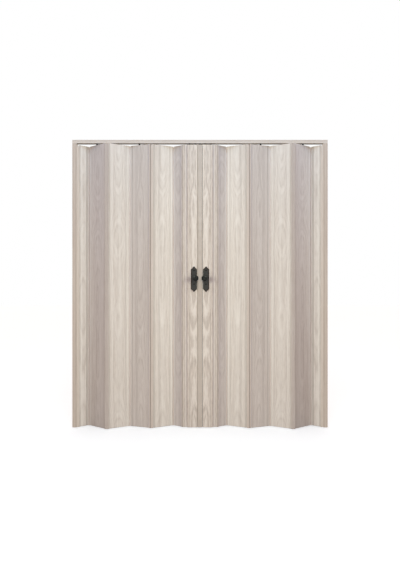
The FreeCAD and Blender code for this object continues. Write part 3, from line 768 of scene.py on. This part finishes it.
class DOOR_OT_plates(bpy.types.Operator):
    """Model the pointed, hammered handle plates"""
    bl_idname = "door.model_plates"
    bl_label = "Handle Plates"

    def execute(self, context):
        handle = context.scene.door_handle
        low, high = (Vector(corner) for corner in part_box("left_front_plate"))
        width = high.x - low.x
        middle = (low.x + high.x) / 2
        bottom, top = low.z + PLATE_ENDS[-1][0], high.z - PLATE_ENDS[1][0]
        piece = start(
            "plate", bpy.ops.mesh.primitive_grid_add, x_subdivisions=12, y_subdivisions=40, size=1,
            location=(middle, high.y, (bottom + top) / 2), rotation=(math.radians(90), 0, 0),
            scale=(width, top - bottom, 1))
        bpy.ops.object.mode_set(mode="EDIT")
        for way, (tip, shoulder, swell) in PLATE_ENDS.items():
            level = top if way > 0 else bottom
            span, risen = width / 2, 0.0
            pick(piece, "EDGE", lambda edge: all(abs(v.co.z - level) < HAIR for v in edge.verts))
            for half, height in ogee(width, tip, shoulder, swell):
                half = max(half, POINT)
                extrude((0, 0, way * (height - risen)))
                bpy.ops.transform.resize(
                    value=(half / span, 1, 1), center_override=(middle, high.y, level))
                span, risen = half, height
        bpy.ops.mesh.select_all(action="SELECT")
        bpy.ops.mesh.remove_doubles(threshold=0.1 * MM)
        bpy.ops.mesh.select_all(action="SELECT")
        extrude((0, low.y - high.y, 0))
        bpy.ops.mesh.select_all(action="SELECT")
        bpy.ops.mesh.normals_make_consistent(inside=False)
        front = low.y + HAIR

        def rim(edge):
            return (all(v.co.y < front for v in edge.verts)
                    and any(abs(face.normal.y) < 0.5 for face in edge.link_faces))

        pick(piece, "EDGE", rim)
        bpy.ops.mesh.bevel(offset=handle.cut_width, segments=3, affect="EDGES", profile=0.55)
        pick(piece, "FACE", lambda face: (
            face.normal.y < -0.99 and face.calc_center_median().y < front))
        bpy.ops.mesh.inset(thickness=handle.border, depth=0)
        bpy.ops.mesh.inset(thickness=handle.field_depth, depth=-handle.field_depth)
        bpy.ops.mesh.subdivide(number_cuts=1)
        shape = bmesh.from_edit_mesh(piece.data)
        field = [v.index for v in shape.verts if v.select]
        bpy.ops.object.mode_set(mode="OBJECT")
        group = piece.vertex_groups.new(name="field")
        group.add(field, 1.0, "REPLACE")
        hammer = bpy.data.textures.new("hammer", "VORONOI")
        hammer.noise_scale = handle.dent_size
        hammer.distance_metric = "DISTANCE"
        dents = piece.modifiers.new("dents", "DISPLACE")
        dents.texture = hammer
        dents.texture_coords = "GLOBAL"
        dents.direction = "Y"
        dents.mid_level = 0.6
        dents.strength = -handle.dent_depth
        dents.vertex_group = "field"
        apply_modifiers(piece)
        piece.vertex_groups.clear()
        bpy.ops.object.shade_smooth_by_angle(angle=math.radians(35))
        wear(piece, blacked_iron("blacked_iron_plate", handle.iron, handle.worn))
        cut = blacked_iron("blacked_iron_cut_edge", handle.cut, handle.cut, sheen=0.0, metal=0.0)
        piece.data.materials.append(cut)
        # Painted shade: the border and bevel on each plate's outer side and at its points, away
        # from the key lamp, take the dark brown.
        hammered = set(field)
        for face in piece.data.polygons:
            place = face.center
            outer = place.x < low.x + 0.2 * width or not bottom < place.z < top
            if outer and not hammered.issuperset(face.vertices):
                face.material_index = 1
        on_each_face(piece, "plate")
        return {"FINISHED"}


def turned(name, sides, turn, rings, axis_x, axis_z):
    """Shape of revolution along Y: a circle extruded from ring to ring of (y, radius)."""
    piece = start(
        name, bpy.ops.mesh.primitive_circle_add, vertices=sides, radius=rings[0][1],
        fill_type="NGON", location=(axis_x, rings[0][0], axis_z),
        rotation=(math.radians(90), math.radians(turn), 0))
    bpy.ops.object.mode_set(mode="EDIT")
    bpy.ops.mesh.select_all(action="SELECT")
    for (y0, r0), (y1, r1) in zip(rings, rings[1:]):
        extrude((0, y1 - y0, 0))
        bpy.ops.transform.resize(value=(r1 / r0, 1, r1 / r0), center_override=(axis_x, y1, axis_z))
    tidy_mesh()
    bpy.ops.object.mode_set(mode="OBJECT")
    return piece


def join_pieces(name, pieces):
    """Join several pieces into one."""
    bpy.ops.object.select_all(action="DESELECT")
    for piece in pieces:
        piece.select_set(True)
    bpy.context.view_layer.objects.active = pieces[0]
    bpy.ops.object.join()
    joined = bpy.context.object
    joined.name = name
    joined.data.name = name
    return joined


# Section of a knob's head, as distance out and radius in shares of its length and radius, and of
# its rose and ringed neck, as distance from the plate and radius in mm. The neck ends inside the
# head.
KNOB_HEAD = ((0, 0.48), (0.3, 0.86), (0.55, 1), (0.78, 0.92), (0.97, 0.56), (1, 0.46))
KNOB_NECK = (
    (0, 10), (0.5, 10.5), (2.2, 10.5), (3, 9.4), (3.6, 7.4), (5, 6.6), (7.4, 6.3), (8, 7.3),
    (9, 7.7), (10, 7.3), (10.6, 6.3), (13.5, 6.6), (15.5, 7.8), (17.5, 9))
KNOB_STAND = 16 * MM  # from the plate to the head


class DOOR_OT_knobs(bpy.types.Operator):
    """Model the eight-sided knobs with their roses and ringed necks"""
    bl_idname = "door.model_knobs"
    bl_label = "Knobs"

    def execute(self, context):
        handle = context.scene.door_handle
        low, high = (Vector(corner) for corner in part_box("left_front_knob"))
        x, z = (low.x + high.x) / 2, (low.z + high.z) / 2
        base = high.y
        foot = base - KNOB_STAND
        length = foot - low.y
        radius = (high.x - low.x) / 2 / math.cos(math.pi / handle.knob_sides)
        head = turned(
            "knob_head", handle.knob_sides, 180 / handle.knob_sides,
            [(foot - out * length, size * radius) for out, size in KNOB_HEAD], x, z)
        edges = head.modifiers.new("edges", "BEVEL")
        edges.width = handle.knob_edge
        edges.segments = 2
        edges.limit_method = "ANGLE"
        edges.angle_limit = math.radians(12)
        apply_modifiers(head)
        neck = turned(
            "knob_neck", 40, 0, [(base - out * MM, size * MM) for out, size in KNOB_NECK], x, z)
        piece = join_pieces("knob", [head, neck])
        bpy.ops.object.shade_smooth_by_angle(angle=math.radians(28))
        black = blacked_iron(
            "blacked_iron_knob", handle.knob_iron, handle.iron, sheen=0.15, metal=0.0)
        wear(piece, black)
        on_each_face(piece, "knob")
        return {"FINISHED"}


# Section of a plate screw, as distance behind the plate's face and radius in mm: its end, its
# shank and its domed head. Then the head's radius and height, and the block that cuts the slot.
SCREW = (
    (11, 0.8), (10, 2), (0, 2), (-0.01, 4), (-0.5, 4), (-1.2, 3.48), (-1.8, 2.48), (-2.2, 0.8))
SCREW_HEAD = 4 * MM
SCREW_RISE = 2.2 * MM
SLOT = (9.6 * MM, 2 * MM, 0.9 * MM)


class DOOR_OT_screws(bpy.types.Operator):
    """Model the slotted, domed screws of the plates"""
    bl_idname = "door.model_screws"
    bl_label = "Plate Screws"

    def execute(self, context):
        low, high = (Vector(corner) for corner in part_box("left_plate_screws"))
        x = (low.x + high.x) / 2
        face = low.y + SCREW_RISE
        screws = []
        for z, turn in ((high.z - SCREW_HEAD, 20), (low.z + SCREW_HEAD, -35)):
            dome = turned(
                "screw", 28, 0, [(face + back * MM, size * MM) for back, size in SCREW], x, z)
            cutter = start(
                "slot", bpy.ops.mesh.primitive_cube_add, size=1,
                location=(x, face - SCREW_RISE, z), rotation=(0, math.radians(turn), 0),
                scale=SLOT)
            slot = dome.modifiers.new("slot", "BOOLEAN")
            slot.operation = "DIFFERENCE"
            slot.solver = "EXACT"
            slot.object = cutter
            apply_modifiers(dome)
            bpy.data.objects.remove(cutter)
            screws += [dome, twin(dome, "screw_back", (1, -1, 1))]
        piece = join_pieces("left_plate_screw_heads", screws)
        bpy.ops.object.shade_smooth_by_angle(angle=math.radians(35))
        black = context.scene.door_handle.screw
        wear(piece, painted_steel("blacked_steel_screw", black, sheen=0.0))
        other = twin(piece, "right_plate_screw_heads", (-1, 1, 1))
        for side, own in zip(SIDES, (piece, other)):
            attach(own, side + "_lead")
            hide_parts(side + "_plate_screws")
        return {"FINISHED"}


def lit_by(name, test):
    """Collection of the objects that a lamp lights."""
    group = bpy.data.collections.new(name)
    for thing in bpy.data.objects:
        if thing.type == "MESH" and test(thing.name):
            group.objects.link(thing)
    return group


def lamp(name, place, aim, size, power, colour, receivers, glints=False):
    """Soft lamp, unseen by the camera, that lights only its receivers, or all where these are None.

    Only with glints does it also show in what shines.
    """
    light = bpy.data.lights.new(name, "AREA")
    light.shape = "RECTANGLE"
    light.size, light.size_y = size
    light.energy = power
    light.color = colour
    thing = bpy.data.objects.new(name, light)
    bpy.context.scene.collection.objects.link(thing)
    thing.location = place
    thing.rotation_euler = (Vector(aim) - Vector(place)).to_track_quat("-Z", "Y").to_euler()
    thing.visible_camera = False
    thing.visible_glossy = glints
    thing.light_linking.receiver_collection = receivers


# Colours of the lamps, linear, and the width and height of the three larger ones in metres.
WARM = (0.946, 1.0, 0.863)
COOL = (0.188, 0.55, 1.0)
KEY_SIZE = (0.8, 1.2)


class DOOR_OT_studio(bpy.types.Operator):
    """Set the camera, the floor, the room light and the lamps"""
    bl_idname = "door.set_studio"
    bl_label = "Studio"

    def execute(self, context):
        studio = context.scene.door_studio
        scene = context.scene
        lens = bpy.data.cameras.new("camera")
        lens.lens = studio.lens
        lens.sensor_width = 36
        camera = bpy.data.objects.new("camera", lens)
        scene.collection.objects.link(camera)
        camera.location = (0, -studio.eye_distance, studio.eye_height)
        camera.rotation_euler = (math.radians(90), 0, 0)
        scene.camera = camera
        scene.view_settings.view_transform = "Standard"

        world = bpy.data.worlds.new("room")
        scene.world = world
        world.use_nodes = True
        tree = world.node_tree
        tree.nodes.clear()
        room = add(tree, "Background", (studio.sky, studio.sky_strength))
        white = add(tree, "Background", ((1, 1, 1, 1), 1.0))
        seen = seen_by(tree, "Camera", "Glossy", "Transmission")
        add(tree, "OutputWorld", (add(tree, "MixShader", (seen, room, white)),))

        floor = start(
            "floor", bpy.ops.mesh.primitive_plane_add, size=30, location=(0, 0, CAD_BOX[0][2]))
        wear(floor, floor_paint("matt_floor_paint", studio.floor, studio.bounce, studio.glow))

        # On both leaves the panels that face the middle are the bright ones, so each leaf has a key
        # lamp of its own, on the other side of the door.
        for side, way in (("left", -1), ("right", 1)):
            leaf = lit_by("lit_" + side, lambda name: name.startswith(side + "_"))
            lamp("key_" + side, (-2.05 * way, -1.65, 1.5), (0.45 * way, 0, 1.1), KEY_SIZE,
                 studio.key_power, WARM, leaf)
        shared = lit_by("lit_shared", lambda name: not name.startswith(("left_", "right_")))
        lamp("key_front", (0, -2.6, 1.5), (0, 0, 1.1), KEY_SIZE, studio.front_power, WARM, shared)
        for side, way in (("left", -1), ("right", 1)):
            iron = lit_by(
                "lit_iron_" + side,
                lambda name: name.startswith(side) and name.endswith("knob_iron"))
            lamp("glint_" + side, (1.2 * way, -1.0, 2.4), (0.03 * way, 0, 1.05), (0.25, 0.25),
                 studio.glint_power, WARM, iron, glints=True)
        lamp("top", (0, -1.2, 3.4), (0, 0, 1.6), (2.4, 1.0), studio.top_power, COOL, None)
        return {"FINISHED"}


class DOOR_PT_panel(bpy.types.Panel):
    """Steps and settings of the door's finish"""
    bl_idname = "DOOR_PT_panel"
    bl_label = "Accordion Door"
    bl_space_type = "VIEW_3D"
    bl_region_type = "UI"
    bl_category = "Door"

    def draw(self, context):
        for group, steps in STEPS:
            box = self.layout.box()
            settings = getattr(context.scene, group)
            for name in settings.bl_rna.properties.keys():
                if name not in ("rna_type", "name"):
                    box.prop(settings, name)
            for step in steps:
                box.operator(step.bl_idname)


GROUPS = {
    "door_vinyl": DoorVinylSettings,
    "door_handle": DoorHandleSettings,
    "door_runner": DoorRunnerSettings,
    "door_studio": DoorStudioSettings,
}
STEPS = (
    ("door_vinyl", (DOOR_OT_frame, DOOR_OT_panels, DOOR_OT_strips, DOOR_OT_leads)),
    ("door_runner", (DOOR_OT_runners, DOOR_OT_closing)),
    ("door_handle", (DOOR_OT_plates, DOOR_OT_knobs, DOOR_OT_screws)),
    ("door_studio", (DOOR_OT_studio,)),
)
CLASSES = (
    tuple(GROUPS.values()) + tuple(step for group, steps in STEPS for step in steps)
    + (DOOR_PT_panel,))


def register():
    for cls in CLASSES:
        bpy.utils.register_class(cls)
    for name, group in GROUPS.items():
        setattr(bpy.types.Scene, name, PointerProperty(type=group))


def unregister():
    for name in GROUPS:
        delattr(bpy.types.Scene, name)
    for cls in reversed(CLASSES):
        bpy.utils.unregister_class(cls)


def main():
    """Dress the door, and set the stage."""
    register()
    bpy.ops.door.finish_frame()
    bpy.ops.door.finish_panels()
    bpy.ops.door.finish_strips()
    bpy.ops.door.finish_leads()
    bpy.ops.door.finish_runners()
    bpy.ops.door.finish_closing()
    bpy.ops.door.model_plates()
    bpy.ops.door.model_knobs()
    bpy.ops.door.model_screws()
    bpy.ops.door.set_studio()


if __name__ == "__main__":
    main()
